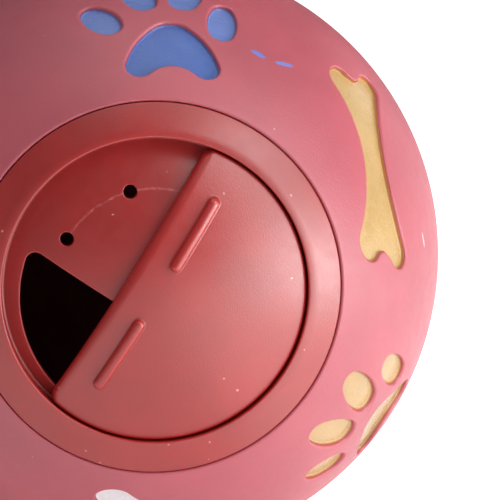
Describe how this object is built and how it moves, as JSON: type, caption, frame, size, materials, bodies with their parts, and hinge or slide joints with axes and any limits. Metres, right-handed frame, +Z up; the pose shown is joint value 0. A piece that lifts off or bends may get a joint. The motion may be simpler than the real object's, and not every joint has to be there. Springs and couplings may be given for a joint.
{
  "type": "treat dispensing ball",
  "caption": "Hollow soft ball with sunk painted paws and bones, and a round cap whose turning dial opens or closes a half-round treat outlet.",
  "frame": {"origin": "middle of the ball", "axes": "+Z up, -Y out of the mouth along the dial's pivot, +X to the right seen from the front"},
  "size_m": [0.11, 0.1097, 0.11],
  "materials": {
    "vinyl": "satin",
    "cap_plastic": "satin",
    "dial_plastic": "satin",
    "blue_paint": "satin",
    "yellow_paint": "satin",
    "white_paint": "satin",
    "zinc_steel": "bright zinc"
  },
  "bodies": {
    "ball": {"ball_shell": "vinyl", "front_blue_paw_paint": "blue_paint", "front_yellow_bone_paint": "yellow_paint", "front_yellow_paw_paint": "yellow_paint", "front_white_bone_paint": "white_paint", "front_white_paw_paint": "white_paint", "front_blue_bone_paint": "blue_paint", "back_yellow_paw_paint": "yellow_paint", "back_white_bone_paint": "white_paint", "back_blue_paw_paint": "blue_paint", "back_yellow_bone_paint": "yellow_paint", "back_white_paw_paint": "white_paint", "back_blue_bone_paint": "blue_paint", "rear_yellow_paw_paint": "yellow_paint", "cap_housing": "cap_plastic"},
    "dial": {"shutter_dial": "dial_plastic", "pivot_screw": "zinc_steel", "pivot_washer": "zinc_steel"}
  },
  "joints": [
    {"name": "dial_turn", "type": "hinge", "parent": "ball", "child": "dial", "pos_m": [0, 0, 0], "axis": [0, -1, 0], "range_deg": [-90, 90]}
  ]
}
